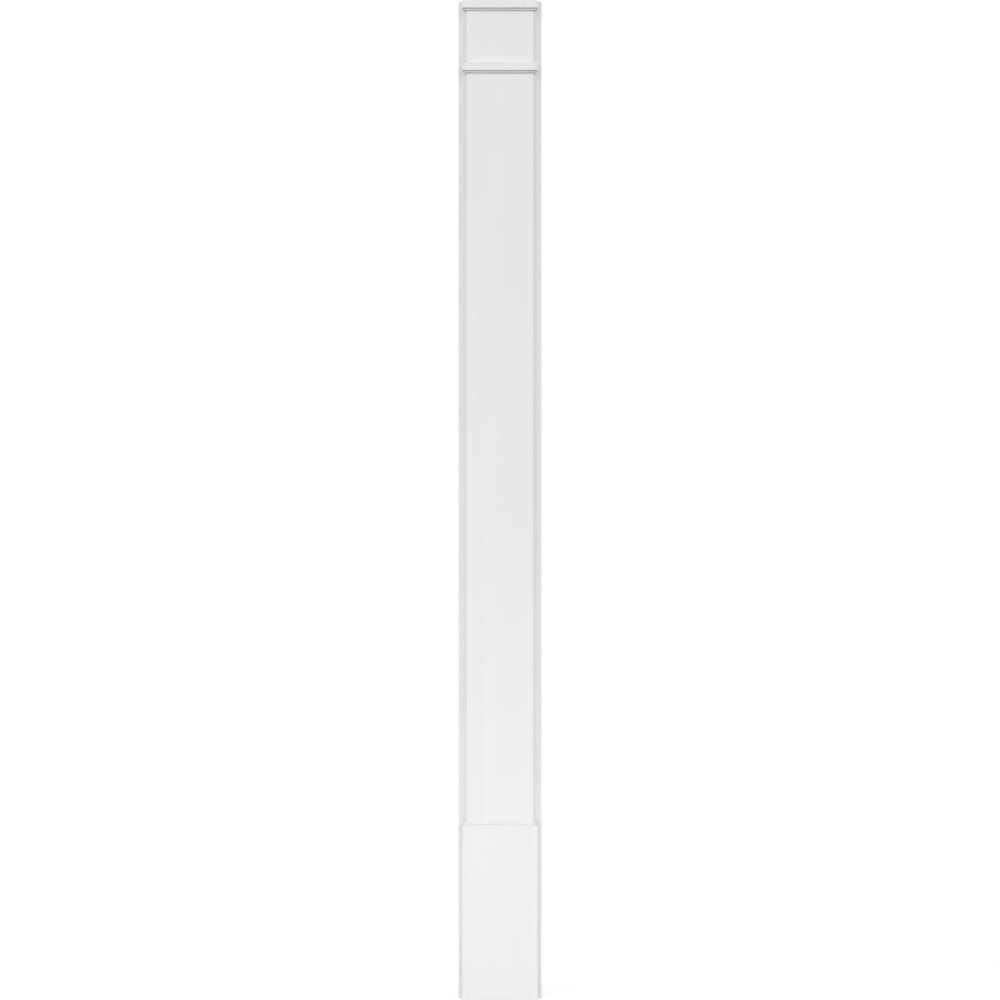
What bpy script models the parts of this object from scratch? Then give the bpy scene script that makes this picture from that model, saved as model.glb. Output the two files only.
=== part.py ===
"""A plain pilaster of white foamed-plastic board, to stand flat against a wall beside a door.

The origin is on the floor, in the middle of the footprint. X runs across the front, +Y points to
the wall, -Y to whoever looks at it, and +Z is up. Every length is in metres.
"""
import math

import bmesh
import bpy
from mathutils import Vector

# Whole object
HEIGHT = 2.4384
BOARD_WIDTH = 0.2032
BOARD_THICKNESS = 0.01905

# Raised panel down the middle
SHAFT_WIDTH = 0.164
SHAFT_RISE = 0.02205

# Plinth block, and the edge worked round its top
PLINTH_HEIGHT = 0.4304
PLINTH_PROJECTION = 0.0097
PLINTH_EDGE_HEIGHT = 0.0054
PLINTH_EDGE_RADIUS = 0.0024
PLINTH_BEAD_PROJECTION = 0.0048
PLINTH_BEAD_RADIUS = 0.0024
PLINTH_QUIRK_PROJECTION = 0.0034

# Strip moulding that is cut up for the neck and the cap
TRIM_PROJECTION = 0.0097
TRIM_BAND_HEIGHT = 0.0202
TRIM_BAND_RADIUS = 0.0022
TRIM_BED_HEIGHT = 0.0052
TRIM_BEAD_PROJECTION = 0.0048
TRIM_BEAD_RADIUS = 0.0024
TRIM_QUIRK_PROJECTION = 0.0034

# Clear height of the panel between the neck and the cap
FRIEZE_HEIGHT = 0.12695

# Making
JOINT_GAP = 0.0003
BOARD_EASING = 0.0008
TRIM_EASING = 0.0005
EASING_SEGMENTS = 2
ARC_STEPS = 8
SMOOTH_UNDER = 20
CUTTER_OVERRUN = 0.01

# Levels and faces worked out from the sizes above
TOTAL_DEPTH = BOARD_THICKNESS + SHAFT_RISE + max(PLINTH_PROJECTION, TRIM_PROJECTION)
WALL_Y = TOTAL_DEPTH / 2
BOARD_FRONT_Y = WALL_Y - BOARD_THICKNESS
PIECE_BACK_Y = BOARD_FRONT_Y - JOINT_GAP
SHAFT_FRONT_Y = BOARD_FRONT_Y - SHAFT_RISE
TRIM_HEIGHT = TRIM_BAND_HEIGHT + TRIM_BED_HEIGHT
CAP_FOOT_Z = HEIGHT - TRIM_HEIGHT
NECK_FOOT_Z = CAP_FOOT_Z - FRIEZE_HEIGHT - TRIM_HEIGHT


def clear_scene():
    """Remove whatever the file holds."""
    for old in list(bpy.data.objects):
        bpy.data.objects.remove(old, do_unlink=True)


def new_collection(name):
    """Make a collection under the scene's own."""
    made = bpy.data.collections.new(name)
    bpy.context.scene.collection.children.link(made)
    return made


def plastic(name, colour, roughness):
    """Satin white foamed plastic, one shade for each sub-part."""
    made = bpy.data.materials.new(name)
    made.use_nodes = True
    shader = made.node_tree.nodes["Principled BSDF"]
    shader.inputs["Base Color"].default_value = (*colour, 1.0)
    shader.inputs["Roughness"].default_value = roughness
    shader.inputs["Metallic"].default_value = 0.0
    return made


def board(name, low, high, material, home):
    """A planed board between two corners, with its arrises eased."""
    low, high = Vector(low), Vector(high)
    mesh = bpy.data.meshes.new(name)
    shape = bmesh.new()
    bmesh.ops.create_cube(shape, size=1.0)
    bmesh.ops.scale(shape, vec=high - low, verts=shape.verts)
    shape.to_mesh(mesh)
    shape.free()
    mesh.materials.append(material)
    made = bpy.data.objects.new(name, mesh)
    made.location = (low + high) / 2
    home.objects.link(made)
    return made


def ease_arrises(piece, width):
    """Take the sharpness off a piece's edges."""
    easing = piece.modifiers.new("eased arrises", "BEVEL")
    easing.width = width
    easing.segments = EASING_SEGMENTS
    easing.limit_method = "ANGLE"
    easing.angle_limit = math.radians(60)
    easing.harden_normals = False


def arc(centre, radius, start, end, steps=ARC_STEPS):
    """Points round part of a circle, angles in degrees, both ends included."""
    points = []
    for step in range(steps + 1):
        angle = math.radians(start + (end - start) * step / steps)
        across = centre[0] + radius * math.cos(angle)
        up = centre[1] + radius * math.sin(angle)
        points.append((across, up))
    return points


def bead_turn(projection, radius, quirk):
    """Degrees that a bead's round goes past its furthest point, until it meets the quirk."""
    return math.degrees(math.acos((quirk - projection + radius) / radius))


def trim_outline():
    """The strip's section: out from the panel's face, and up from its lower edge.

    A small bead, the narrow sunk line beside it that is called a quirk, and a flat band with a
    rounded lower edge that stands further out.
    """
    back = JOINT_GAP
    bead_centre = (TRIM_BEAD_PROJECTION - TRIM_BEAD_RADIUS, TRIM_BEAD_RADIUS)
    band_out = TRIM_PROJECTION - TRIM_EASING
    band_head = TRIM_HEIGHT - TRIM_EASING
    rounding = (TRIM_PROJECTION - TRIM_BAND_RADIUS, TRIM_BED_HEIGHT + TRIM_BAND_RADIUS)
    outline = [(back, 0.0)]
    turn = bead_turn(TRIM_BEAD_PROJECTION, TRIM_BEAD_RADIUS, TRIM_QUIRK_PROJECTION)
    outline += arc(bead_centre, TRIM_BEAD_RADIUS, -90, turn)
    outline.append((TRIM_QUIRK_PROJECTION, TRIM_BED_HEIGHT))
    outline += arc(rounding, TRIM_BAND_RADIUS, -90, 0)
    outline += arc((band_out, band_head), TRIM_EASING, 0, 90, EASING_SEGMENTS)
    outline.append((back, TRIM_HEIGHT))
    return outline


def plinth_waste_outline():
    """What is routed off the plinth's top edge: out from the panel's face, up from the edge's foot.

    It leaves a small bead, a quirk under it, and a ledge that rounds over to the block's face.
    """
    far_out = PLINTH_PROJECTION + CUTTER_OVERRUN
    far_up = PLINTH_EDGE_HEIGHT + CUTTER_OVERRUN
    bead_out = PLINTH_BEAD_PROJECTION - PLINTH_BEAD_RADIUS
    bead_up = PLINTH_EDGE_HEIGHT - PLINTH_BEAD_RADIUS
    turn = bead_turn(PLINTH_BEAD_PROJECTION, PLINTH_BEAD_RADIUS, PLINTH_QUIRK_PROJECTION)
    shoulder = (PLINTH_PROJECTION - PLINTH_EDGE_RADIUS, -PLINTH_EDGE_RADIUS)
    outline = [(far_out, -PLINTH_EDGE_RADIUS), (far_out, far_up), (bead_out, far_up)]
    outline += arc((bead_out, bead_up), PLINTH_BEAD_RADIUS, 90, -turn)
    outline.append((PLINTH_QUIRK_PROJECTION, 0.0))
    outline += arc(shoulder, PLINTH_EDGE_RADIUS, 90, 0)
    return outline


def length_of_stock(name, outline, start, end):
    """An outline drawn out along its own Z from start to end, as a closed mesh."""
    curve = bpy.data.curves.new(name + " drawing", "CURVE")
    curve.dimensions = "2D"
    curve.fill_mode = "BOTH"
    curve.extrude = (end - start) / 2
    line = curve.splines.new("POLY")
    line.points.add(len(outline) - 1)
    for point, (across, up) in zip(line.points, outline):
        point.co = (across, up, 0.0, 1.0)
    line.use_cyclic_u = True
    drawing = bpy.data.objects.new(name + " drawing", curve)
    bpy.context.scene.collection.objects.link(drawing)
    seen = drawing.evaluated_get(bpy.context.evaluated_depsgraph_get())
    mesh = bpy.data.meshes.new_from_object(seen)
    mesh.name = name
    bpy.data.objects.remove(drawing, do_unlink=True)
    shape = bmesh.new()
    shape.from_mesh(mesh)
    bmesh.ops.remove_doubles(shape, verts=shape.verts, dist=JOINT_GAP / 10)
    bmesh.ops.translate(shape, vec=(0.0, 0.0, (start + end) / 2), verts=shape.verts)
    bmesh.ops.dissolve_limit(
        shape, angle_limit=math.radians(0.1), verts=shape.verts, edges=shape.edges
    )
    bmesh.ops.recalc_face_normals(shape, faces=shape.faces)
    shape.to_mesh(mesh)
    shape.free()
    mesh.shade_smooth()
    mesh.set_sharp_from_angle(angle=math.radians(SMOOTH_UNDER))
    return mesh


def mitre(mesh, end, way):
    """Saw an end off at 45 degrees, longer at the front than at the back.

    end is where the saw meets the panel's own corner, and way is +1 at the far end, -1 at the near.
    """
    shape = bmesh.new()
    shape.from_mesh(mesh)
    towards_end = Vector((-1.0, 0.0, way)).normalized()
    place = Vector((0.0, 0.0, end)) - towards_end * JOINT_GAP / 2
    everything = shape.verts[:] + shape.edges[:] + shape.faces[:]
    cut = bmesh.ops.bisect_plane(
        shape, geom=everything, dist=JOINT_GAP / 100, plane_co=place, plane_no=towards_end,
        clear_outer=True,
    )
    rim = [piece for piece in cut["geom_cut"] if isinstance(piece, bmesh.types.BMEdge)]
    bmesh.ops.edgeloop_fill(shape, edges=rim)
    bmesh.ops.recalc_face_normals(shape, faces=shape.faces)
    shape.to_mesh(mesh)
    shape.free()


def trim_strip(name, corner, turn, start, end, mitres, material, home):
    """One length of strip moulding, stood up and turned to face outwards.

    start and end are measured along the panel's face; mitres holds -1, +1 or both.
    """
    outline = trim_outline()
    spare = TRIM_PROJECTION + CUTTER_OVERRUN
    stock_start = start - spare if -1 in mitres else start
    stock_end = end + spare if 1 in mitres else end
    mesh = length_of_stock(name, outline, stock_start, stock_end)
    for way in mitres:
        mitre(mesh, end if way > 0 else start, way)
    mesh.materials.append(material)
    made = bpy.data.objects.new(name, mesh)
    made.location = corner
    made.rotation_euler = (math.radians(90), 0.0, turn)
    home.objects.link(made)
    return made


def wrap_trim(label, foot, colour, home):
    """A front length and two short returns, mitred round the panel at one height."""
    half = SHAFT_WIDTH / 2
    run = SHAFT_RISE - JOINT_GAP
    facing_front, facing_left, facing_right = math.radians(-90), math.radians(180), 0.0
    trim_strip(
        label + "_front", (0.0, SHAFT_FRONT_Y, foot), facing_front, -half, half, (-1, 1),
        plastic(label + " front plastic", colour, 0.42), home,
    )
    trim_strip(
        label + "_left_return", (-half, SHAFT_FRONT_Y, foot), facing_left, 0.0, run, (-1,),
        plastic(label + " left plastic", colour, 0.42), home,
    )
    trim_strip(
        label + "_right_return", (half, SHAFT_FRONT_Y, foot), facing_right, -run, 0.0, (1,),
        plastic(label + " right plastic", colour, 0.42), home,
    )


def make_back_board(home):
    """The flat board that lies against the wall and shows as a band down each side."""
    half = BOARD_WIDTH / 2
    made = board(
        "back_board", (-half, BOARD_FRONT_Y, 0.0), (half, WALL_Y, HEIGHT),
        plastic("board plastic", (0.82, 0.82, 0.815), 0.45), home,
    )
    ease_arrises(made, BOARD_EASING)


def make_shaft_panel(home):
    """The plain raised panel, from the top of the plinth block to the top of the pilaster."""
    half = SHAFT_WIDTH / 2
    foot = PLINTH_HEIGHT + JOINT_GAP
    made = board(
        "shaft_panel", (-half, SHAFT_FRONT_Y, foot), (half, PIECE_BACK_Y, HEIGHT),
        plastic("shaft plastic", (0.83, 0.83, 0.825), 0.42), home,
    )
    ease_arrises(made, BOARD_EASING)


def make_plinth_block(home, cutters):
    """The solid block at the foot, with a bead routed round three sides of its top edge."""
    half = SHAFT_WIDTH / 2 + PLINTH_PROJECTION
    front = SHAFT_FRONT_Y - PLINTH_PROJECTION
    made = board(
        "plinth_block", (-half, front, 0.0), (half, PIECE_BACK_Y, PLINTH_HEIGHT),
        plastic("plinth plastic", (0.83, 0.83, 0.825), 0.42), home,
    )
    ease_arrises(made, BOARD_EASING)
    edge_foot = PLINTH_HEIGHT - PLINTH_EDGE_HEIGHT
    reach = BOARD_WIDTH + TOTAL_DEPTH
    passes = (
        ("front", (0.0, SHAFT_FRONT_Y, edge_foot), math.radians(-90)),
        ("left", (-SHAFT_WIDTH / 2, SHAFT_FRONT_Y, edge_foot), math.radians(180)),
        ("right", (SHAFT_WIDTH / 2, SHAFT_FRONT_Y, edge_foot), 0.0),
    )
    for side, place, turn in passes:
        name = "plinth_waste_" + side
        mesh = length_of_stock(name, plinth_waste_outline(), -reach, reach)
        cutter = bpy.data.objects.new(name, mesh)
        cutter.location = place
        cutter.rotation_euler = (math.radians(90), 0.0, turn)
        cutter.display_type = "WIRE"
        cutter.hide_render = True
        cutters.objects.link(cutter)
        routing = made.modifiers.new("routed " + side, "BOOLEAN")
        routing.operation = "DIFFERENCE"
        routing.solver = "EXACT"
        routing.object = cutter


def main():
    """Build the pilaster."""
    clear_scene()
    home = new_collection("pilaster")
    cutters = new_collection("pilaster cutters")
    make_back_board(home)
    make_shaft_panel(home)
    make_plinth_block(home, cutters)
    wrap_trim("neck", NECK_FOOT_Z, (0.84, 0.84, 0.835), home)
    wrap_trim("cap", CAP_FOOT_Z, (0.84, 0.84, 0.835), home)


main()
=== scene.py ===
# %% [markdown]
# # A plain white pilaster
#
# A pilaster is a flat column that is fixed to a wall, here the kind that stands beside a door.
# It is made of white foamed-plastic board: a flat back board, a raised panel down its middle, a
# solid plinth block at the foot, and two small mouldings, the neck and the cap, that are mitred
# round the panel's front and sides.
#
# The lesson starts from a measured model of the nine pieces. It builds each one again with the
# softened edges and joints that a joiner would leave, gives them a satin plastic finish, and sets
# up a plain pale studio. X runs across the front, +Y points to the wall, and +Z is up.

# %% Open the measured model
import math

import bmesh
import bpy
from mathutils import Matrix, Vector, noise


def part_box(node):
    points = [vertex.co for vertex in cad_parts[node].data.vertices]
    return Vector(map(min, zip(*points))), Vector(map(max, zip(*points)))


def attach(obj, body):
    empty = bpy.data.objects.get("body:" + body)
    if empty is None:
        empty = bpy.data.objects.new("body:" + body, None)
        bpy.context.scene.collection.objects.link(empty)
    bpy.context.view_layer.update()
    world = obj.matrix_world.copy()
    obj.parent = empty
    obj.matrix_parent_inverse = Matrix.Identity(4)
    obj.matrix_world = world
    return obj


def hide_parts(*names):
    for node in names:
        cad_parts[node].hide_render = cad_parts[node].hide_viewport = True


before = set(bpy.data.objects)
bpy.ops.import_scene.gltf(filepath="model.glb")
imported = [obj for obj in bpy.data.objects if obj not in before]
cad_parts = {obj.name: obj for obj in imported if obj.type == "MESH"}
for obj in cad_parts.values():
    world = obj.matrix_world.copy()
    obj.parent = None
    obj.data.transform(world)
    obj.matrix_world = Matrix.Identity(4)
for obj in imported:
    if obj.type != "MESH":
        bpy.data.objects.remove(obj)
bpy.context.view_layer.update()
print("pieces in the measured model:", len(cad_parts))

# %% [markdown]
# ## Sizes
#
# Every size that the measured model can tell is read from it, so the pieces made here sit where
# the measured ones are. What a box can't tell, such as the radius of a bead, is written down once,
# in metres. A millimetre is 0.001.

# %% Read the sizes
MM = 0.001
board_low, board_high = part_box("back_board")
panel_low, panel_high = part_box("shaft_panel")
plinth_low, plinth_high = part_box("plinth_block")
neck_low, neck_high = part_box("neck_front")
cap_low, cap_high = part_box("cap_front")

HEIGHT = board_high.z
GLUE_Y = board_low.y
FACE_Y = panel_low.y
HALF_PANEL = panel_high.x
HALF_PLINTH = plinth_high.x
PROJECTION = FACE_Y - plinth_low.y
PLINTH_TOP = plinth_high.z
STRIP_HEIGHT = neck_high.z - neck_low.z
print(f"height {HEIGHT:.4f} m, panel {2 * HALF_PANEL:.4f} m wide, plinth {PLINTH_TOP:.4f} m high")

# %% [markdown]
# ## Outlines
#
# Most of this object is a simple outline carried along a line: a moulding is one section carried
# along its length, and the plinth block is one plan carried up. An outline is a list of points.
# Its rounded parts are arcs of a circle, and its long stretches are cut into even steps, so that
# the faces keep a workable length.

# %% Helpers for outlines
def arc(centre, radius, start, end, steps):
    """Points round part of a circle, angles in degrees, both ends included."""
    turns = [math.radians(start + (end - start) * step / steps) for step in range(steps + 1)]
    return [(centre[0] + radius * math.cos(t), centre[1] + radius * math.sin(t)) for t in turns]


def between(start, end, spacing):
    """Evenly spaced values from start to end, both included, about spacing apart."""
    pieces = max(1, round(abs(end - start) / spacing))
    return [start + (end - start) * step / pieces for step in range(pieces + 1)]


print("stops from 0 to 1, a quarter apart:", between(0.0, 1.0, 0.25))

# %% [markdown]
# ## From outlines to solids
#
# One helper is enough for all these shapes. It takes a row of outlines with the same number of
# points, joins each to the next with four-sided faces, and closes both ends. A curve object with a
# bevel could do this too, but with outlines of our own the corners can be mitred and eased exactly
# where the real ones are.

# %% Helper for solids
SHARP_TURN = math.radians(35)


def skin(rings):
    """Join a row of outlines into one closed solid."""
    shape = bmesh.new()
    rows = [[shape.verts.new(point) for point in ring] for ring in rings]
    for lower, upper in zip(rows, rows[1:]):
        for here in range(len(lower)):
            after = (here + 1) % len(lower)
            shape.faces.new((lower[here], lower[after], upper[after], upper[here]))
    shape.faces.new(rows[0])
    shape.faces.new(rows[-1])
    bmesh.ops.recalc_face_normals(shape, faces=shape.faces)
    for edge in shape.edges:
        edge.smooth = edge.calc_face_angle(0.0) < SHARP_TURN
    return shape


print("edges are sharp from a turn of", round(math.degrees(SHARP_TURN)), "degrees")

# %% [markdown]
# ## Smooth, and flat where it is flat
#
# Smooth shading on its own would make the flat faces look swollen. Two things cure that. Edges that
# turn sharply are marked sharp, and the Weighted Normal modifier lets the large flat faces decide
# and leaves the bending to the small ones.

# %% Helpers for pieces
def as_piece(name, shape):
    """Put a finished shape in the scene, shaded smooth with its flats kept flat."""
    mesh = bpy.data.meshes.new(name)
    shape.to_mesh(mesh)
    shape.free()
    for face in mesh.polygons:
        face.use_smooth = True
    piece = bpy.data.objects.new(name, mesh)
    bpy.context.scene.collection.objects.link(piece)
    return piece


def keep_flats_flat(piece):
    """Let the large faces set the shading, so that only the eased edges look round."""
    weighting = piece.modifiers.new("flats stay flat", "WEIGHTED_NORMAL")
    weighting.mode = "FACE_AREA"
    weighting.keep_sharp = True


print("helpers ready")

# %% [markdown]
# ## Boards that aren't dead flat
#
# The back board and the raised panel are cut from planed sheet, and a sheet is never dead flat. You
# can tell by the way a highlight wanders on it. A board here is a block that is sliced into a grid,
# and the points inside its faces sink by a few hundredths of a millimetre, in slow waves. They
# never rise, so the board keeps its measured size.

# %% Slice a block and let it wave
SLICE = 24 * MM
WAVE_LENGTH = 210 * MM
WAVE_DEPTH = 0.06 * MM


def slice_up(shape, low, high):
    """Cut a block into a grid of about SLICE, so that its faces have points to move."""
    for axis in range(3):
        across = Vector([float(axis == other) for other in range(3)])
        for level in between(low[axis], high[axis], SLICE)[1:-1]:
            everything = shape.verts[:] + shape.edges[:] + shape.faces[:]
            place = across * level
            bmesh.ops.bisect_plane(shape, geom=everything, plane_co=place, plane_no=across)


def let_sheet_wave(shape):
    """Sink the points inside each face by a slowly changing amount, never outwards."""
    for point in shape.verts:
        facings = {tuple(round(value) for value in face.normal) for face in point.link_faces}
        if len(facings) == 1:
            depth = 0.5 + 0.5 * noise.noise(point.co / WAVE_LENGTH)
            point.co -= Vector(facings.pop()) * WAVE_DEPTH * depth


print(f"the deepest wave is {WAVE_DEPTH / MM:.2f} mm")

# %% [markdown]
# ## Eased arrises
#
# A board's long edges, which a joiner calls arrises, are eased with a few strokes of sandpaper.
# The ends are only sawn, so they stay crisper, and the panel's foot isn't eased at all, because it
# has to close tightly on the plinth block. How far each edge is eased is stored as a bevel weight.
# The Bevel modifier reads it, so one modifier does for all three.

# %% Make the back board
EASED = 0.9 * MM
SAWN_EASING = 0.35
EASING_STEPS = 4
CORNER_TURN = math.radians(60)


def planed_board(name, low, high, tight_foot):
    """A planed board between two corners."""
    shape = bmesh.new()
    bmesh.ops.create_cube(shape, size=1.0)
    bmesh.ops.scale(shape, vec=high - low, verts=shape.verts)
    bmesh.ops.translate(shape, vec=(low + high) / 2, verts=shape.verts)
    slice_up(shape, low, high)
    bmesh.ops.recalc_face_normals(shape, faces=shape.faces)
    weight = shape.edges.layers.float.new("bevel_weight_edge")
    for edge in shape.edges:
        if edge.calc_face_angle(0.0) > CORNER_TURN:
            upright = abs(edge.verts[0].co.z - edge.verts[1].co.z) > MM
            at_foot = edge.verts[0].co.z < low.z + MM
            if upright:
                edge[weight] = 1.0
            elif at_foot and tight_foot:
                edge[weight] = 0.0
            else:
                edge[weight] = SAWN_EASING
            edge.smooth = edge[weight] > 0.0
    let_sheet_wave(shape)
    piece = as_piece(name, shape)
    easing = piece.modifiers.new("eased arrises", "BEVEL")
    easing.limit_method = "WEIGHT"
    easing.width = EASED
    easing.segments = EASING_STEPS
    easing.use_clamp_overlap = False
    keep_flats_flat(piece)
    print(name, "points in the grid:", len(piece.data.vertices))
    return piece


back_board = planed_board("planed_back_board", board_low, board_high, tight_foot=False)

# %% [markdown]
# ## The raised panel
#
# The panel is glued on the back board, so it runs back to the board's face, and it stands on the
# plinth block. A glued joint still shows as a hairline, so a twentieth of a millimetre is left.

# %% Make the raised panel
HAIRLINE = 0.05 * MM
panel_foot = Vector((panel_low.x, panel_low.y, PLINTH_TOP + HAIRLINE))
panel_head = Vector((panel_high.x, GLUE_Y - HAIRLINE, panel_high.z))
shaft_panel = planed_board("planed_shaft_panel", panel_foot, panel_head, tight_foot=True)

# %% [markdown]
# ## The plinth block
#
# The block at the foot is solid. Its top edge is routed on three sides, and the cutter leaves a
# small bead, a narrow sunk line under it that is called a quirk, and a ledge that rounds over to
# the block's face. Seen from the front that is the soft light line and the faint shade just below
# the panel's foot. The profile goes up the block's face and over the routed edge, and says at each
# point how far out and how high it lies.

# %% Draw the plinth block's profile
BEAD_OUT = 4.8 * MM
BEAD_RADIUS = 2.4 * MM
QUIRK_OUT = 3.4 * MM
BEAD_TURN = math.degrees(math.acos((QUIRK_OUT - BEAD_OUT + BEAD_RADIUS) / BEAD_RADIUS))
EDGE_HEIGHT = 5.4 * MM
SHOULDER_RADIUS = 2.4 * MM
ARC_STEPS = 12


def plinth_profile():
    """How far out from the panel's face and how high, from the block's foot to its top."""
    foot = PLINTH_TOP - EDGE_HEIGHT
    profile = [(PROJECTION - EASED, 0.0)]
    profile += arc((PROJECTION - EASED, EASED), EASED, -90, 0, EASING_STEPS)[1:]
    profile += [(PROJECTION, up) for up in between(EASED, foot - SHOULDER_RADIUS, SLICE)[1:]]
    shoulder = (PROJECTION - SHOULDER_RADIUS, foot - SHOULDER_RADIUS)
    profile += arc(shoulder, SHOULDER_RADIUS, 0, 90, ARC_STEPS)[1:]
    profile.append((QUIRK_OUT, foot))
    bead = (BEAD_OUT - BEAD_RADIUS, PLINTH_TOP - BEAD_RADIUS)
    profile += arc(bead, BEAD_RADIUS, -BEAD_TURN, 90, ARC_STEPS)
    return profile


print("points in the plinth block's profile:", len(plinth_profile()))

# %% [markdown]
# ## A pile of plans
#
# The block is a pile of plans, one at each point of the profile. Each plan is a rectangle, square
# at the back where the block meets the board and rounded a little at its two front corners. Because
# every plan is as far out at the sides as at the front, the routed edge is mitred at the corners
# by itself.

# %% Make the plinth block
CORNER_RADIUS = 0.9 * MM
ROUTED_RADIUS = 0.35 * MM
COLUMNS = round(2 * HALF_PLINTH / SLICE)


def plan_at(out, up):
    """One plan of the block: rounded at the front corners and square against the board."""
    half, front = HALF_PANEL + out, FACE_Y - out
    on_face = up < PLINTH_TOP - EDGE_HEIGHT
    radius = CORNER_RADIUS if on_face else ROUTED_RADIUS
    left = arc((-half + radius, front + radius), radius, 180, 270, EASING_STEPS)
    right = arc((half - radius, front + radius), radius, 270, 360, EASING_STEPS)
    start, end = left[-1][0], right[0][0]
    middle = [(across, front) for across in between(start, end, (end - start) / COLUMNS)[1:-1]]
    back = GLUE_Y - HAIRLINE
    outline = [(-half, back)] + left + middle + right + [(half, back)]
    return [Vector((across, deep, up)) for across, deep in outline]


block = skin([plan_at(out, up) for out, up in plinth_profile()])
plinth_block = as_piece("routed_plinth_block", block)
keep_flats_flat(plinth_block)
print("points in the plinth block:", len(plinth_block.data.vertices))

# %% [markdown]
# ## The neck and the cap
#
# Both are cut from one stock moulding: a flat band whose lower edge rounds under to a quirk and a
# small bead, much like the plinth's edge upside down. A real one is pushed through a die, so its
# section is the same all along, and the section is all that has to be drawn.

# %% Draw the moulding's section
BED_HEIGHT = 5.2 * MM
BAND_RADIUS = 2.2 * MM
ARRIS_RADIUS = 0.45 * MM


def strip_section():
    """The moulding's section: out from the panel's face, and up from its lower edge."""
    bead = (BEAD_OUT - BEAD_RADIUS, BEAD_RADIUS)
    section = [(0.0, 0.0)] + arc(bead, BEAD_RADIUS, -90, BEAD_TURN, ARC_STEPS)
    section.append((QUIRK_OUT, BED_HEIGHT))
    rounding = (PROJECTION - BAND_RADIUS, BED_HEIGHT + BAND_RADIUS)
    section += arc(rounding, BAND_RADIUS, -90, 0, ARC_STEPS)
    upper = (PROJECTION - ARRIS_RADIUS, STRIP_HEIGHT - ARRIS_RADIUS)
    section += arc(upper, ARRIS_RADIUS, 0, 90, EASING_STEPS)
    section.append((0.0, STRIP_HEIGHT))
    return section


print("points in the moulding's section:", len(strip_section()))

# %% [markdown]
# ## One length of moulding
#
# The section is carried along its length, and at a mitre, which is a 45 degree cut, every point of
# it runs on by just as far as it stands out from the panel. The sawn rim is eased by about a tenth
# of a millimetre, so that the joint shows as a fine line when you come close.

# %% Helpers for one length of moulding
STRIP_RIM = 0.12 * MM


def drawn_in(section, by):
    """The same section with its outline drawn in, for the eased rim of a sawn end."""
    smaller = []
    for here, (out, up) in enumerate(section):
        before, after = section[here - 1], section[(here + 1) % len(section)]
        run = Vector((after[0] - before[0], after[1] - before[1])).normalized()
        smaller.append((out - by * run.y, up + by * run.x))
    return smaller


def strip(name, corner, outward, along, start, end, mitred):
    """One length of moulding. mitred holds -1 for its start, +1 for its end, or both."""
    full = strip_section()
    eased = drawn_in(full, STRIP_RIM)
    rings = []
    levels = between(start, end, SLICE)
    stops = [(levels[0], eased, 0.0), (levels[0], full, STRIP_RIM)]
    stops += [(level, full, 0.0) for level in levels[1:-1]]
    stops += [(levels[-1], full, -STRIP_RIM), (levels[-1], eased, 0.0)]
    for level, section, shift in stops:
        ring = []
        for out, up in section:
            share = (level - start) / (end - start)
            run_on = out * (share * (1 in mitred) - (1 - share) * (-1 in mitred))
            place = corner + outward * out + along * (level + run_on + shift)
            ring.append(place + Vector((0.0, 0.0, up)))
        rings.append(ring)
    piece = as_piece(name, skin(rings))
    keep_flats_flat(piece)
    return piece


print(f"a sawn rim is eased by {STRIP_RIM / MM:.2f} mm")

# %% [markdown]
# ## Round the panel
#
# On the real pilaster a long piece goes across the front and a short return goes back along each
# side, and they meet at the corners in mitres. Each length is its own piece here too. Half a
# hairline is left on each side of a mitre, and a whole one before the back board.

# %% Make the neck and the cap
def wrap_round_panel(label, foot):
    """A front length and two returns, mitred round the panel at one height."""
    forward, across = Vector((0.0, -1.0, 0.0)), Vector((1.0, 0.0, 0.0))
    trim = HAIRLINE / 2
    reach = HALF_PANEL - trim
    run = GLUE_Y - FACE_Y - HAIRLINE
    middle = Vector((0.0, FACE_Y, foot))
    made = {}
    made[f"{label}_front"] = strip(
        f"{label}_strip_front", middle, forward, across, -reach, reach, mitred=(-1, 1)
    )
    for side, name in ((-1, "left"), (1, "right")):
        corner = Vector((side * HALF_PANEL, FACE_Y, foot))
        made[f"{label}_{name}_return"] = strip(
            f"{label}_strip_{name}", corner, across * side, -forward, trim, run, mitred=(-1,)
        )
    print(label, "lengths:", len(made))
    return made


strips = {**wrap_round_panel("neck", neck_low.z), **wrap_round_panel("cap", cap_low.z)}

# %% [markdown]
# ## Satin plastic
#
# Foamed plastic sheet is drawn through rollers while it is warm. That leaves a satin skin with
# three marks of its making: faint lines along its length, a very fine dimpling like orange peel,
# and slow, cloudy changes of tone. The cut ends lose the skin and show fine cells and saw marks.
#
# Each mark is a node group with its own inputs and outputs, built once and used in every material
# with its own values. A group gives out only masks, tones and heights, and the shader stays in the
# material.

# %% Helpers for node groups
def new_group(name, inputs, outputs):
    """A shader node group with the sockets named, and its two end nodes."""
    group = bpy.data.node_groups.new(name, "ShaderNodeTree")
    for socket, kind, value in inputs:
        made = group.interface.new_socket(socket, in_out="INPUT", socket_type=kind)
        if value is not None:
            made.default_value = value
    for socket, kind in outputs:
        group.interface.new_socket(socket, in_out="OUTPUT", socket_type=kind)
    start = group.nodes.new("NodeGroupInput")
    end = group.nodes.new("NodeGroupOutput")
    return group, start.outputs, end.inputs


def feed(tree, value, socket):
    """Plug a socket in, or set a plain value."""
    if isinstance(value, bpy.types.NodeSocket):
        tree.links.new(value, socket)
    else:
        socket.default_value = value


def place_group(tree, group, **values):
    """Put a group in a material; underscores in a value's name stand for spaces."""
    node = tree.nodes.new("ShaderNodeGroup")
    node.node_tree = group
    for name, value in values.items():
        feed(tree, value, node.inputs[name.replace("_", " ")])
    return node.outputs


print("group helpers ready")

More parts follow.
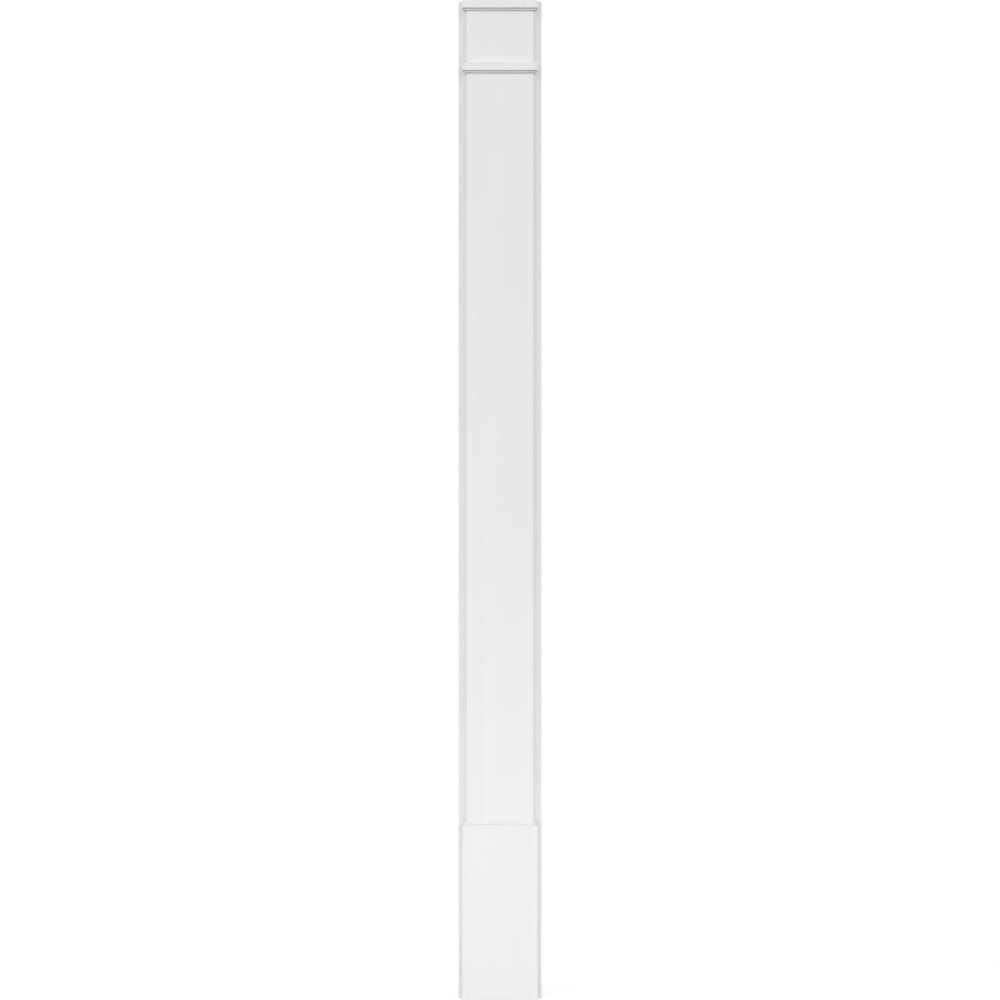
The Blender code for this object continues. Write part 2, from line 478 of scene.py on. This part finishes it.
# %% [markdown]
# ## Small nodes, said shortly
#
# A recipe for a plastic is mostly sums, stretched ranges and noise. One short helper for each keeps
# the recipes easy to read. Each makes a node, plugs in what it is given, whether that is a socket
# or a plain number, and hands back its result.

# %% Helpers for single nodes
def work_out(tree, operation, *values):
    """A Math node over sockets and plain numbers; gives its result."""
    node = tree.nodes.new("ShaderNodeMath")
    node.operation = operation
    for value, socket in zip(values, node.inputs):
        feed(tree, value, socket)
    return node.outputs[0]


def stretch(tree, value, low, high, to_low=0.0, to_high=1.0, smooth=True):
    """Map a value from one range to another, eased at both ends."""
    node = tree.nodes.new("ShaderNodeMapRange")
    node.interpolation_type = "SMOOTHSTEP" if smooth else "LINEAR"
    for name, amount in (
        ("Value", value), ("From Min", low), ("From Max", high),
        ("To Min", to_low), ("To Max", to_high),
    ):
        feed(tree, amount, node.inputs[name])
    return node.outputs["Result"]


def cloud(tree, vector, scale, detail, roughness=0.5):
    """A noise texture's value."""
    node = tree.nodes.new("ShaderNodeTexNoise")
    feed(tree, vector, node.inputs["Vector"])
    feed(tree, scale, node.inputs["Scale"])
    node.inputs["Detail"].default_value = detail
    node.inputs["Roughness"].default_value = roughness
    return node.outputs["Fac"]


def split(tree, vector):
    """The X, Y and Z of a vector."""
    node = tree.nodes.new("ShaderNodeSeparateXYZ")
    feed(tree, vector, node.inputs[0])
    return node.outputs


print("node helpers ready")

# %% [markdown]
# ## Drawn lines
#
# The lines that rollers and die leave are noise that is squeezed along the board, so that it hardly
# changes that way. The fine noise gives a height from 0 to 1, which a Bump node later turns into
# hundredths of a millimetre. Together with a broader one it also gives a tone.

# %% Build the drawn lines
MM_IN_A_METRE = 1000.0
SOFT_DETAIL = 2.0
LINE_DETAIL, LINE_ROUGHNESS = 3.0, 0.6
BROAD_SCALE = 0.12
FINE_IN_TONE = 0.45
TONE_RANGE = (0.45, 1.0)


def build_drawn_lines():
    """Faint lines along the length, from rollers and die."""
    group, given, out = new_group(
        "drawn lines",
        [
            ("Vector", "NodeSocketVector", None),
            ("Squeeze", "NodeSocketVector", (1.0, 1.0, 0.01)),
            ("Spacing mm", "NodeSocketFloat", 3.0),
        ],
        [("Height", "NodeSocketFloat"), ("Tone", "NodeSocketFloat")],
    )
    squeezed = group.nodes.new("ShaderNodeVectorMath")
    squeezed.operation = "MULTIPLY"
    feed(group, given["Vector"], squeezed.inputs[0])
    feed(group, given["Squeeze"], squeezed.inputs[1])
    per_metre = work_out(group, "DIVIDE", MM_IN_A_METRE, given["Spacing mm"])
    fine = cloud(group, squeezed.outputs[0], per_metre, LINE_DETAIL, LINE_ROUGHNESS)
    broad_scale = work_out(group, "MULTIPLY", per_metre, BROAD_SCALE)
    broad = cloud(group, squeezed.outputs[0], broad_scale, SOFT_DETAIL)
    both = work_out(group, "ADD", work_out(group, "MULTIPLY", fine, FINE_IN_TONE), broad)
    feed(group, fine, out["Height"])
    feed(group, stretch(group, both, *TONE_RANGE), out["Tone"])
    return group


drawn_lines = build_drawn_lines()
print("group:", drawn_lines.name)

# %% [markdown]
# ## Dimples
#
# The skin's dimples are plain fine noise, with no direction. They are too small to change the tone,
# so the group gives out a height alone.

# %% Build the dimples
def build_dimples():
    """The skin's orange peel."""
    group, given, out = new_group(
        "skin dimples",
        [("Vector", "NodeSocketVector", None), ("Size mm", "NodeSocketFloat", 0.8)],
        [("Height", "NodeSocketFloat")],
    )
    per_metre = work_out(group, "DIVIDE", MM_IN_A_METRE, given["Size mm"])
    feed(group, cloud(group, given["Vector"], per_metre, SOFT_DETAIL), out["Height"])
    return group


dimples = build_dimples()
print("group:", dimples.name)

# %% [markdown]
# ## Sawn ends
#
# On the boards and the block only cut faces look straight up or straight down: the sawn ends and
# the routed ledge. So the way a surface faces is enough to find them. The foam's cells lie open
# there, which a Voronoi texture gives. The saw's strokes run across them at a slight slant, and a
# sine wave draws one every 2.4 mm.

# %% Build the sawn ends
END_RANGE = (0.9, 0.99)
SAW_SLANT = 0.18
STROKE_RATE = 2600.0
STROKE_HEIGHT = 0.3
CELL_RANGE = (0.0, 0.7)


def build_sawn_end():
    """Fine cells and saw marks where a board is cut across."""
    group, given, out = new_group(
        "sawn end",
        [
            ("Vector", "NodeSocketVector", None),
            ("Normal", "NodeSocketVector", None),
            ("Cell mm", "NodeSocketFloat", 0.35),
        ],
        [("Mask", "NodeSocketFloat"), ("Height", "NodeSocketFloat"), ("Tone", "NodeSocketFloat")],
    )
    facing = work_out(group, "ABSOLUTE", split(group, given["Normal"])["Z"])
    feed(group, stretch(group, facing, *END_RANGE), out["Mask"])
    texture = group.nodes.new("ShaderNodeTexVoronoi")
    feed(group, given["Vector"], texture.inputs["Vector"])
    per_metre = work_out(group, "DIVIDE", MM_IN_A_METRE, given["Cell mm"])
    feed(group, per_metre, texture.inputs["Scale"])
    cells = texture.outputs["Distance"]
    place = split(group, given["Vector"])
    leaning = work_out(group, "MULTIPLY", place["Y"], SAW_SLANT)
    slant = work_out(group, "ADD", place["X"], leaning)
    stroke = work_out(group, "SINE", work_out(group, "MULTIPLY", slant, STROKE_RATE))
    scored = work_out(group, "MULTIPLY", stroke, STROKE_HEIGHT)
    feed(group, work_out(group, "ADD", cells, scored), out["Height"])
    feed(group, stretch(group, cells, *CELL_RANGE), out["Tone"])
    return group


sawn_end = build_sawn_end()
print("group:", sawn_end.name)

# %% [markdown]
# ## Arrises
#
# The way the surface faces gives the arrises too. An arris is where it looks along none of the
# three axes squarely, because it is turning from one face to the next. The group takes the largest
# of the three parts of the direction, and the mask fades in as that part drops below 1.

# %% Build the arrises
ARRIS_RANGE = (0.995, 0.8)


def build_arris():
    """Where the surface turns from one face to the next."""
    group, given, out = new_group(
        "eased arris", [("Normal", "NodeSocketVector", None)], [("Mask", "NodeSocketFloat")]
    )
    parts = [work_out(group, "ABSOLUTE", value) for value in split(group, given["Normal"])]
    larger = work_out(group, "MAXIMUM", parts[0], parts[1])
    most = work_out(group, "MAXIMUM", larger, parts[2])
    feed(group, stretch(group, most, *ARRIS_RANGE), out["Mask"])
    return group


arris = build_arris()
print("group:", arris.name)

# %% [markdown]
# ## Painted shade in the corners
#
# Where two pieces meet, shade falls into the corner, and here that shade is painted into the
# colour.
# Painting it by hand would work, but a mask made from the place on the object stays right when a
# size changes. The group turns a distance from the joint into a soft mask, and its reach says how
# wide that is.

# %% Build the corner shade
def build_corner_shade():
    """A soft mask that fades with distance from a joint."""
    group, given, out = new_group(
        "corner shade",
        [("Distance", "NodeSocketFloat", 0.0), ("Reach mm", "NodeSocketFloat", 3.0)],
        [("Mask", "NodeSocketFloat")],
    )
    reach = work_out(group, "MULTIPLY", given["Reach mm"], MM)
    feed(group, stretch(group, given["Distance"], reach, 0.0), out["Mask"])
    return group


corner_shade = build_corner_shade()
print("group:", corner_shade.name)

# %% [markdown]
# ## How far from a joint
#
# Shade is painted at three kinds of place: the upright corner between the board and what stands on
# it, the level where a moulding meets the panel, and the quirk in a moulding. A few Math nodes work
# out the distance to each from the place on the object. The upright corner is further out beside
# the plinth block than beside the panel.

# %% Helpers for distances
LEDGES = (neck_low.z, neck_high.z, cap_low.z)
QUIRKS = (neck_low.z + BED_HEIGHT, cap_low.z + BED_HEIGHT)


def distance_to_upright(tree, place):
    """Distance from the upright corner between the board and what stands on it."""
    above = stretch(tree, place["Z"], PLINTH_TOP - MM, PLINTH_TOP + MM)
    half = stretch(tree, above, 0.0, 1.0, HALF_PLINTH, HALF_PANEL, smooth=False)
    sideways = work_out(tree, "SUBTRACT", work_out(tree, "ABSOLUTE", place["X"]), half)
    deep = work_out(tree, "SUBTRACT", place["Y"], GLUE_Y)
    squares = [work_out(tree, "POWER", value, 2.0) for value in (sideways, deep)]
    return work_out(tree, "SQRT", work_out(tree, "ADD", *squares))


def distance_to_levels(tree, place, levels):
    """Distance up or down to the nearest of some levels."""
    nearest = None
    for level in levels:
        gap = work_out(tree, "ABSOLUTE", work_out(tree, "SUBTRACT", place["Z"], level))
        nearest = gap if nearest is None else work_out(tree, "MINIMUM", nearest, gap)
    return nearest


# These are the levels where shade is painted into the colour.
print("levels that hold dust:", len(LEDGES) + len(QUIRKS))

# %% [markdown]
# ## Where the shade is painted
#
# Each distance goes through the corner shade, with its own reach in millimetres and its own
# strength. The strongest one counts at each place. The back board passes behind the mouldings and
# has no joint at their levels, so those two masks stop at its face.

# %% Gather the painted shade
UPRIGHT_REACH, LEDGE_REACH, QUIRK_REACH = 3.5, 3.0, 2.0
UPRIGHT_SHADE, LEDGE_SHADE, QUIRK_SHADE = 0.35, 0.85, 0.8


def painted_shade_near(tree, distance, reach, shade):
    """The painted shade at one kind of place: full at the joint and gone at its reach."""
    mask = place_group(tree, corner_shade, Distance=distance, Reach_mm=reach)["Mask"]
    return work_out(tree, "MULTIPLY", mask, shade)


def painted_joint_shade(tree, place):
    """How much painted shade lies anywhere on the object, from 0 to 1."""
    # Painted shade: darker at the joints, ledges and quirks, where shade falls.
    ledge = painted_shade_near(tree, distance_to_levels(tree, place, LEDGES), LEDGE_REACH, LEDGE_SHADE)
    quirk = painted_shade_near(tree, distance_to_levels(tree, place, QUIRKS), QUIRK_REACH, QUIRK_SHADE)
    upright = painted_shade_near(tree, distance_to_upright(tree, place), UPRIGHT_REACH, UPRIGHT_SHADE)
    before_board = stretch(tree, place["Y"], GLUE_Y, GLUE_Y - MM)
    on_moulding = work_out(tree, "MAXIMUM", ledge, quirk)
    on_moulding = work_out(tree, "MULTIPLY", on_moulding, before_board)
    return work_out(tree, "MAXIMUM", on_moulding, upright)


print("strengths: upright", UPRIGHT_SHADE, "ledge", LEDGE_SHADE, "quirk", QUIRK_SHADE)

# %% [markdown]
# ## Colour
#
# White plastic is never one white. Slow clouds make it a little paler in places and the drawn lines
# a little deeper. The arrises and beads are painted lighter, a painted highlight, and painted shade
# goes over all of them at the joints. Each step mixes the colour so far with one more, by a mask,
# so the steps can be told apart and changed one at a time.

# %% Mix the skin's colour
CLOUD_SCALE = 6.0
CLOUD_RANGE = (0.3, 0.7)
# The last tint on the next line paints a highlight on the rounded edges and beads.
PALE_TINT, DEEP_TINT, PAINTED_HIGHLIGHT_TINT = 1.012, 0.976, 1.035
# This tint is painted shade, for the joints and under the mouldings.
PAINTED_SHADE_TINT = (0.86, 0.858, 0.855)
LINES_SHOWN = 0.8


def blend_colour(tree, share, plain, marked):
    """Mix two colours by a mask."""
    node = tree.nodes.new("ShaderNodeMix")
    node.data_type = "RGBA"
    feed(tree, share, node.inputs["Factor"])
    feed(tree, plain, node.inputs["A"])
    feed(tree, marked, node.inputs["B"])
    return node.outputs["Result"]


def tinted(shade, tint):
    """A shade made paler or deeper, one tint for each of its three parts."""
    return tuple(value * part for value, part in zip(shade, tint)) + (1.0,)


def skin_colour(tree, shade, place, tone, edge):
    """The colour of the drawn skin: clouds, lines, a painted highlight on the arrises and painted
    shade at the joints.
    """
    plain, pale, deep, rubbed_and_highlit = (
        tinted(shade, (tint,) * 3) for tint in (1.0, PALE_TINT, DEEP_TINT, PAINTED_HIGHLIGHT_TINT)
    )
    clouds = stretch(tree, cloud(tree, place, CLOUD_SCALE, SOFT_DETAIL), *CLOUD_RANGE)
    colour = blend_colour(tree, clouds, plain, pale)
    colour = blend_colour(tree, work_out(tree, "MULTIPLY", tone, LINES_SHOWN), colour, deep)
    # Painted highlight: the rounded edges and beads are made lighter.
    colour = blend_colour(tree, edge, colour, rubbed_and_highlit)
    # Painted shade at the joints, ledges and quirks.
    painted_shade = painted_joint_shade(tree, split(tree, place))
    return blend_colour(tree, painted_shade, colour, tinted(shade, PAINTED_SHADE_TINT))


print("tints: pale", PALE_TINT, "deep", DEEP_TINT, "rubbed_and_highlit", PAINTED_HIGHLIGHT_TINT, "painted_shade_tint", PAINTED_SHADE_TINT)

# %% [markdown]
# ## The look of a cut
#
# Where the sawn end's mask is on, the plastic is chalkier between its cells, rougher and more
# deeply marked than the skin. The same mask changes all three, so they stay together.

# %% Helper for a cut across
CELL_SIZE = 0.35
CHALKY_TINT = 0.93
SAWN_ROUGHER = 0.35
SAWN_HEIGHT = 2.5


def cut_across(tree, shade, place, facing, skin_values):
    """The colour, roughness and height, changed where a sawn end shows."""
    colour, satin, height = skin_values
    end = place_group(tree, sawn_end, Vector=place, Normal=facing, Cell_mm=CELL_SIZE)
    shown = work_out(tree, "MULTIPLY", end["Mask"], end["Tone"])
    colour = blend_colour(tree, shown, colour, tinted(shade, (CHALKY_TINT,) * 3))
    satin = work_out(tree, "ADD", satin, work_out(tree, "MULTIPLY", end["Mask"], SAWN_ROUGHER))
    cut = work_out(tree, "MULTIPLY", end["Height"], SAWN_HEIGHT)
    height = stretch(tree, end["Mask"], 0.0, 1.0, height, cut, smooth=False)
    return colour, satin, height


print("cell size, in millimetres:", CELL_SIZE)

# %% [markdown]
# ## One recipe
#
# One function makes all the plastics, because they differ only in their shade, in the way their
# lines run, and in having sawn ends or not. Roughness follows the drawn lines a little, and a
# rubbed arris is smoother. What is the same all over, such as the index of refraction, is set on
# the shader itself.

# %% Helper for a plastic
PEEL_SIZE, PEEL_SHARE = 0.8, 0.8
PEEL_DEPTH = 0.04 * MM
LINE_RANGE = (0.25, 0.75)
SATIN_RANGE = (0.40, 0.47)
RUBBED_SMOOTHER = 0.14
REFRACTIVE_INDEX, SPECULAR_LEVEL = 1.5, 0.4


def plastic(name, shade, squeeze, spacing, sawn):
    """A satin white foamed plastic."""
    material = bpy.data.materials.new(name)
    material.use_nodes = True
    tree = material.node_tree
    place = tree.nodes.new("ShaderNodeTexCoord").outputs["Object"]
    facing = tree.nodes.new("ShaderNodeNewGeometry").outputs["Normal"]
    lines = place_group(tree, drawn_lines, Vector=place, Squeeze=squeeze, Spacing_mm=spacing)
    peel = place_group(tree, dimples, Vector=place, Size_mm=PEEL_SIZE)
    edge = place_group(tree, arris, Normal=facing)["Mask"]

    colour = skin_colour(tree, shade, place, lines["Tone"], edge)
    satin = stretch(tree, lines["Height"], *LINE_RANGE, *SATIN_RANGE)
    rubbed_and_highlit = work_out(tree, "MULTIPLY", edge, RUBBED_SMOOTHER)
    satin = work_out(tree, "SUBTRACT", satin, rubbed_and_highlit)
    fine = work_out(tree, "MULTIPLY", peel["Height"], PEEL_SHARE)
    height = work_out(tree, "ADD", lines["Height"], fine)
    if sawn:
        skin_values = (colour, satin, height)
        colour, satin, height = cut_across(tree, shade, place, facing, skin_values)

    bump = tree.nodes.new("ShaderNodeBump")
    bump.inputs["Strength"].default_value = 1.0
    bump.inputs["Distance"].default_value = PEEL_DEPTH
    feed(tree, height, bump.inputs["Height"])
    shader = tree.nodes["Principled BSDF"]
    shader.inputs["IOR"].default_value = REFRACTIVE_INDEX
    shader.inputs["Specular IOR Level"].default_value = SPECULAR_LEVEL
    feed(tree, colour, shader.inputs["Base Color"])
    feed(tree, satin, shader.inputs["Roughness"])
    feed(tree, bump.outputs["Normal"], shader.inputs["Normal"])
    print("plastic:", name, "nodes:", len(tree.nodes))
    return material


print(f"the skin's marks are {PEEL_DEPTH / MM:.2f} mm high")

# %% [markdown]
# ## The plastics
#
# The lines run up the boards and the block, across a front strip, and back along a return, so each
# way of running has its own squeeze of X, Y and Z. The strips come from a finer die, with their
# lines closer together, and they are a touch whiter than the sheet.

# %% Make the plastics
UP, ACROSS, BACK = (1.0, 1.0, 0.008), (0.02, 1.0, 1.0), (1.0, 0.02, 1.0)
BOARD_SPACING, STRIP_SPACING = 3.0, 1.6
BOARD_SHADE = (0.797, 0.797, 0.797)
PANEL_SHADE = (0.805, 0.805, 0.805)
STRIP_SHADE = (0.810, 0.810, 0.810)
board_plastic = plastic("planed board plastic", BOARD_SHADE, UP, BOARD_SPACING, sawn=True)
panel_plastic = plastic("planed panel plastic", PANEL_SHADE, UP, BOARD_SPACING, sawn=True)
front_plastic = plastic("drawn strip plastic", STRIP_SHADE, ACROSS, STRIP_SPACING, sawn=False)
side_plastic = plastic("drawn return plastic", STRIP_SHADE, BACK, STRIP_SPACING, sawn=False)

# %% [markdown]
# ## Dress the measured model
#
# Each new piece takes its plastic, rides on the measured model's only body and stands for the
# measured piece of the same place, which is then hidden.

# %% Dress the pieces
def dress(piece, material, node):
    """Give a piece its plastic and put it in a measured piece's place."""
    piece.data.materials.append(material)
    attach(piece, "root")
    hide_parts(node)


dress(back_board, board_plastic, "back_board")
dress(shaft_panel, panel_plastic, "shaft_panel")
dress(plinth_block, panel_plastic, "plinth_block")
for node, piece in strips.items():
    dress(piece, front_plastic if node.endswith("front") else side_plastic, node)
print("pieces dressed:", 3 + len(strips))

# %% [markdown]
# ## The floor
#
# White on white is told apart by shade alone, so even the floor matters. It is a pale disc, and
# for the camera alone it is lifted almost to white, and quite to it at the rim. So it shows the
# pilaster's faint shade, has no edge that you can see, and throws no more light up. The Light Path
# node tells which rays come from the camera.

# %% Make the floor
FLOOR_RADIUS = 1.4
FLOOR_SIDES = 96
FLOOR_DROP = 0.5 * MM
FLOOR_ROUGHNESS = 0.9
FLOOR_COLOURS = ((0.81, 0.81, 0.81, 1.0), (0.83, 0.83, 0.83, 1.0))
SPECKLE_SCALE, SPECKLE_DETAIL = 40.0, 3.0
LIFT_STARTS = 0.3
FLOOR_LIFT, RIM_LIFT = 0.39, 0.45


def paint_floor():
    """A pale paint that is lifted towards white for the camera alone."""
    paint = bpy.data.materials.new("pale floor paint")
    paint.use_nodes = True
    tree = paint.node_tree
    shader = tree.nodes["Principled BSDF"]
    shader.inputs["Roughness"].default_value = FLOOR_ROUGHNESS
    shader.inputs["Emission Color"].default_value = (1.0, 1.0, 1.0, 1.0)
    place = tree.nodes.new("ShaderNodeTexCoord").outputs["Object"]
    speckle = cloud(tree, place, SPECKLE_SCALE, SPECKLE_DETAIL)
    colour = blend_colour(tree, stretch(tree, speckle, *CLOUD_RANGE), *FLOOR_COLOURS)
    feed(tree, colour, shader.inputs["Base Color"])
    from_middle = tree.nodes.new("ShaderNodeVectorMath")
    from_middle.operation = "LENGTH"
    feed(tree, place, from_middle.inputs[0])
    out = from_middle.outputs["Value"]
    lift = stretch(tree, out, LIFT_STARTS, FLOOR_RADIUS, FLOOR_LIFT, RIM_LIFT)
    seen = tree.nodes.new("ShaderNodeLightPath").outputs["Is Camera Ray"]
    feed(tree, work_out(tree, "MULTIPLY", seen, lift), shader.inputs["Emission Strength"])
    return paint


def make_floor():
    """A pale round floor."""
    shape = bmesh.new()
    bmesh.ops.create_circle(shape, cap_ends=True, radius=FLOOR_RADIUS, segments=FLOOR_SIDES)
    mesh = bpy.data.meshes.new("pale_floor")
    shape.to_mesh(mesh)
    shape.free()
    mesh.materials.append(paint_floor())
    floor = bpy.data.objects.new("pale_floor", mesh)
    floor.location.z = -FLOOR_DROP
    bpy.context.scene.collection.objects.link(floor)


make_floor()
print(f"floor {2 * FLOOR_RADIUS:.1f} m across")

# %% [markdown]
# ## The sky
#
# The sky gives an even light that is stronger above, as in a white room with a lit ceiling. Where
# the camera looks past the object it sees plain white instead, and the Light Path node chooses
# between the two.

# %% Make the sky
SKY_BELOW, SKY_ABOVE = 0.20, 0.61


def make_sky():
    """Even light from all round, stronger from above, and plain white where the camera looks."""
    world = bpy.data.worlds.new("studio sky")
    bpy.context.scene.world = world
    world.use_nodes = True
    tree = world.node_tree
    tree.nodes.clear()
    way = split(tree, tree.nodes.new("ShaderNodeTexCoord").outputs["Generated"])["Z"]
    light = tree.nodes.new("ShaderNodeBackground")
    strength = stretch(tree, way, -1.0, 1.0, SKY_BELOW, SKY_ABOVE, smooth=False)
    feed(tree, strength, light.inputs["Strength"])
    backdrop = tree.nodes.new("ShaderNodeBackground")
    backdrop.inputs["Color"].default_value = (1.0, 1.0, 1.0, 1.0)
    choice = tree.nodes.new("ShaderNodeMixShader")
    seen = tree.nodes.new("ShaderNodeLightPath").outputs["Is Camera Ray"]
    feed(tree, seen, choice.inputs[0])
    tree.links.new(light.outputs[0], choice.inputs[1])
    tree.links.new(backdrop.outputs[0], choice.inputs[2])
    tree.links.new(choice.outputs[0], tree.nodes.new("ShaderNodeOutputWorld").inputs[0])


make_sky()
print("sky strength, below and above:", SKY_BELOW, SKY_ABOVE)

# %% [markdown]
# ## The suns
#
# Two soft key lights stand a little above the eye on the left and the right, the left one
# stronger, so the shade under a moulding falls short and to both sides. Two more stand almost edge
# on and reach the bands behind the panel, a wide weak one fills from the front, and one from
# behind keeps the back from going dull. The suns are all wide, because a large lamp close by gives
# soft edges, and they are suns because their light is the same all the way up a tall piece.

# %% Make the suns
SUNS = (
    ("left key", 0.66, 25.0, -35.0, 30.0),
    ("right key", 0.53, 25.0, 35.0, 30.0),
    ("left edge light", 0.98, 10.0, -75.0, 30.0),
    ("right edge light", 0.99, 10.0, 75.0, 30.0),
    ("front fill", 0.60, 0.0, 0.0, 40.0),
    ("back fill", 0.75, 12.0, 180.0, 40.0),
)


def make_sun(name, strength, raised, turned, width):
    """A soft sun, raised above the horizon and turned from straight ahead, in degrees."""
    light = bpy.data.lights.new(name, "SUN")
    light.energy = strength
    light.angle = math.radians(width)
    lamp = bpy.data.objects.new(name, light)
    high, round_to = math.radians(raised), math.radians(turned)
    level = Vector((math.sin(round_to), -math.cos(round_to), 0.0)) * math.cos(high)
    towards = level + Vector((0.0, 0.0, math.sin(high)))
    lamp.rotation_euler = towards.to_track_quat("Z", "Y").to_euler()
    bpy.context.scene.collection.objects.link(lamp)


for sun in SUNS:
    make_sun(*sun)
bpy.context.scene.view_settings.view_transform = "Standard"
print("suns:", len(SUNS))

# %% [markdown]
# ## Camera
#
# The camera stands straight in front at half the pilaster's height, so that it sees the cap's
# mouldings a little from below and the plinth's ledge a little from above. How far away it stands
# follows from how much smaller the board at the back looks than it should. The picture is as tall
# as the pilaster, 1000 pixels for 2.4384 m, and ends 0.4 pixels under its foot.

# %% Make the camera
DISTANCE = 8.92
PICTURE_PIXELS = 1000
FOOT_ROW = 999.6
SENSOR = 36.0
pixel = HEIGHT / PICTURE_PIXELS
camera_data = bpy.data.cameras.new("camera")
camera_data.sensor_width = SENSOR
camera_data.lens = SENSOR * DISTANCE / HEIGHT
camera = bpy.data.objects.new("camera", camera_data)
eye_height = pixel * (FOOT_ROW - PICTURE_PIXELS / 2)
camera.location = (0.0, plinth_low.y - DISTANCE, eye_height)
camera.rotation_euler = (math.radians(90), 0.0, 0.0)
bpy.context.scene.collection.objects.link(camera)
bpy.context.scene.camera = camera
print(f"lens {camera_data.lens:.1f} mm, eye height {eye_height:.3f} m")

# %% [markdown]
# ## Finish
#
# The softened pieces have to fill the same space as the measured ones. The view layer is brought up
# to date before the scene is closed.

# %% Finish
bpy.context.view_layer.update()
